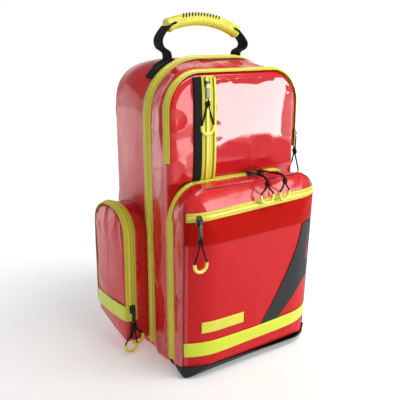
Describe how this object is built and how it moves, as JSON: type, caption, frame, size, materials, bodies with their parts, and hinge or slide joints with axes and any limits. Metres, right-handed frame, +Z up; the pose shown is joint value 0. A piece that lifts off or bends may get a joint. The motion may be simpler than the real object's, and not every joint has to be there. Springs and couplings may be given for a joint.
{
  "type": "trauma backpack",
  "caption": "Upright red emergency backpack with a hinged lid, clear-window upper panel, front pocket, side pockets, carry handle and stowable harness.",
  "frame": {"origin": "on the floor under the rear compartment, 25 mm behind the main zip and midway across", "axes": "+X to the right seen from the front, +Y towards the wearer, +Z up"},
  "size_m": [0.3766, 0.3418, 0.5829],
  "materials": {
    "red_tarpaulin": "glossy coated tarpaulin, slightly wrinkled",
    "black_mesh": "black spacer mesh over foam",
    "yellow_zip": "neon yellow zip tape and coil",
    "black_webbing": "woven polyester webbing",
    "black_plastic": "moulded acetal",
    "grey_lining": "coated nylon lining",
    "clear_window": "clear flexible sheet",
    "black_boot": "matt rubberised tarpaulin",
    "lime_reflective": "fluorescent retro-reflective tape",
    "red_loop_fabric": "matt hook-and-loop pile",
    "yellow_label": "blank woven label",
    "yellow_grip": "soft moulded grip",
    "black_zinc": "black painted zinc",
    "pull_cord": "black cord and tab with a yellow tube"
  },
  "bodies": {
    "rear_compartment": {"rear_shell": "red_tarpaulin", "back_panel": "black_mesh", "back_pads": "black_mesh", "main_zip_rear": "yellow_zip", "handle_patches": "black_webbing", "shoulder_straps": "black_mesh", "strap_webbing": "black_webbing", "ladder_locks": "black_plastic", "hip_fins": "black_mesh", "hip_socket": "black_plastic", "sternum_socket": "black_plastic", "side_tray_left": "red_tarpaulin", "side_tray_right": "red_tarpaulin", "side_tray_tapes": "yellow_zip", "inner_shelf": "grey_lining", "elastic_loops": "black_webbing"},
    "hip_buckle_plug": {"hip_plug": "black_plastic"},
    "chest_buckle_plug": {"sternum_plug": "black_plastic"},
    "main_lid": {"lid_shell": "red_tarpaulin", "lid_partition": "grey_lining", "main_zip_front": "yellow_zip", "lid_tapes": "yellow_zip"},
    "upper_flap": {"upper_panel": "red_tarpaulin", "upper_tapes": "yellow_zip", "window": "clear_window", "webbing_strip": "black_webbing"},
    "front_pocket": {"pocket_shell": "red_tarpaulin", "pocket_boot": "black_boot", "pocket_strip": "lime_reflective", "loop_band": "red_loop_fabric", "pocket_tapes": "yellow_zip", "label_patch": "yellow_label"},
    "left_flap": {"flap_left": "red_tarpaulin", "flap_tape_left": "yellow_zip", "flap_strip_left": "lime_reflective"},
    "right_flap": {"flap_right": "red_tarpaulin", "flap_tape_right": "yellow_zip", "flap_strip_right": "lime_reflective"},
    "carry_handle": {"handle_webbing": "black_webbing", "handle_grip": "yellow_grip"},
    "main_zip_slider": {"main_slider": "black_zinc"},
    "upper_zip_slider": {"upper_slider": "black_zinc"},
    "pocket_zip_slider_a": {"pocket_slider_a": "black_zinc"},
    "pocket_zip_slider_b": {"pocket_slider_b": "black_zinc"},
    "level_zip_slider": {"slash_slider": "black_zinc"},
    "window_zip_slider": {"window_slider": "black_zinc"},
    "left_zip_slider": {"side_slider_left": "black_zinc"},
    "right_zip_slider": {"side_slider_right": "black_zinc"},
    "main_zip_pull": {"main_pull": "pull_cord"},
    "upper_zip_pull": {"upper_pull": "pull_cord"},
    "pocket_zip_pull_a": {"pocket_pull_a": "pull_cord"},
    "pocket_zip_pull_b": {"pocket_pull_b": "pull_cord"},
    "level_zip_pull": {"slash_pull": "pull_cord"},
    "window_zip_pull": {"window_pull": "pull_cord"},
    "left_zip_pull": {"side_pull_left": "pull_cord"},
    "right_zip_pull": {"side_pull_right": "pull_cord"}
  },
  "joints": [
    {"name": "lid_hinge", "type": "hinge", "parent": "rear_compartment", "child": "main_lid", "pos_m": [0, -0.025, 0], "axis": [1, 0, 0], "range_deg": [0, 120]},
    {"name": "upper_hinge", "type": "hinge", "parent": "main_lid", "child": "upper_flap", "pos_m": [0, -0.096, 0.346], "axis": [1, 0, 0], "range_deg": [0, 90]},
    {"name": "pocket_hinge", "type": "hinge", "parent": "main_lid", "child": "front_pocket", "pos_m": [0, -0.089, 0], "axis": [1, 0, 0], "range_deg": [0, 95]},
    {"name": "left_flap_hinge", "type": "hinge", "parent": "rear_compartment", "child": "left_flap", "pos_m": [-0.179, 0.039, 0.06], "axis": [0, -1, 0], "range_deg": [0, 105]},
    {"name": "right_flap_hinge", "type": "hinge", "parent": "rear_compartment", "child": "right_flap", "pos_m": [0.179, 0.039, 0.06], "axis": [0, 1, 0], "range_deg": [0, 105]},
    {"name": "handle_hinge", "type": "hinge", "parent": "rear_compartment", "child": "carry_handle", "pos_m": [0, 0.003, 0.51744], "axis": [1, 0, 0], "range_deg": [-75, 75]},
    {"name": "hip_buckle_slide", "type": "slide", "parent": "rear_compartment", "child": "hip_buckle_plug", "axis": [1, 0, 0], "range_m": [0, 0.022]},
    {"name": "chest_buckle_slide", "type": "slide", "parent": "rear_compartment", "child": "chest_buckle_plug", "axis": [1, 0, 0], "range_m": [0, 0.02]},
    {"name": "main_zip_slide", "type": "slide", "parent": "rear_compartment", "child": "main_zip_slider", "axis": [0, 0, 1], "range_m": [-0.008, 0.048]},
    {"name": "upper_zip_slide", "type": "slide", "parent": "main_lid", "child": "upper_zip_slider", "axis": [0, 0, 1], "range_m": [-0.012, 0.045]},
    {"name": "pocket_zip_slide_a", "type": "slide", "parent": "front_pocket", "child": "pocket_zip_slider_a", "axis": [1, 0, 0], "range_m": [-0.075, 0]},
    {"name": "pocket_zip_slide_b", "type": "slide", "parent": "front_pocket", "child": "pocket_zip_slider_b", "axis": [1, 0, 0], "range_m": [0, 0.015]},
    {"name": "level_zip_slide", "type": "slide", "parent": "front_pocket", "child": "level_zip_slider", "axis": [1, 0, 0], "range_m": [0, 0.2]},
    {"name": "window_zip_slide", "type": "slide", "parent": "upper_flap", "child": "window_zip_slider", "axis": [0, 0, 1], "range_m": [-0.06, 0]},
    {"name": "left_zip_slide", "type": "slide", "parent": "rear_compartment", "child": "left_zip_slider", "axis": [0, 0, 1], "range_m": [0, 0.118]},
    {"name": "right_zip_slide", "type": "slide", "parent": "rear_compartment", "child": "right_zip_slider", "axis": [0, 0, 1], "range_m": [0, 0.118]},
    {"name": "main_pull_swing", "type": "hinge", "parent": "main_zip_slider", "child": "main_zip_pull", "pos_m": [0.135, -0.025, 0.36], "axis": [0, -1, 0], "range_deg": [0, 120]},
    {"name": "upper_pull_swing", "type": "hinge", "parent": "upper_zip_slider", "child": "upper_zip_pull", "pos_m": [0.1394, -0.089, 0.376], "axis": [0, -1, 0], "range_deg": [0, 120]},
    {"name": "pocket_pull_swing_a", "type": "hinge", "parent": "pocket_zip_slider_a", "child": "pocket_zip_pull_a", "pos_m": [0.021, -0.106, 0.323], "axis": [-0.9903, 0.1392, 0], "range_deg": [0, 60]},
    {"name": "pocket_pull_swing_b", "type": "hinge", "parent": "pocket_zip_slider_b", "child": "pocket_zip_pull_b", "pos_m": [0.043, -0.106, 0.323], "axis": [-0.9903, -0.1392, 0], "range_deg": [0, 60]},
    {"name": "level_pull_swing", "type": "hinge", "parent": "level_zip_slider", "child": "level_zip_pull", "pos_m": [-0.12, -0.16383, 0.274], "axis": [-1, 0, 0], "range_deg": [0, 120]},
    {"name": "window_pull_swing", "type": "hinge", "parent": "window_zip_slider", "child": "window_zip_pull", "pos_m": [-0.06433, -0.103, 0.475], "axis": [-1, 0, 0], "range_deg": [0, 120]},
    {"name": "left_pull_swing", "type": "hinge", "parent": "left_zip_slider", "child": "left_zip_pull", "pos_m": [-0.165, -0.024, 0.086], "axis": [-1, 0, 0], "range_deg": [0, 120]},
    {"name": "right_pull_swing", "type": "hinge", "parent": "right_zip_slider", "child": "right_zip_pull", "pos_m": [0.165, -0.024, 0.086], "axis": [-1, 0, 0], "range_deg": [0, 120]}
  ]
}
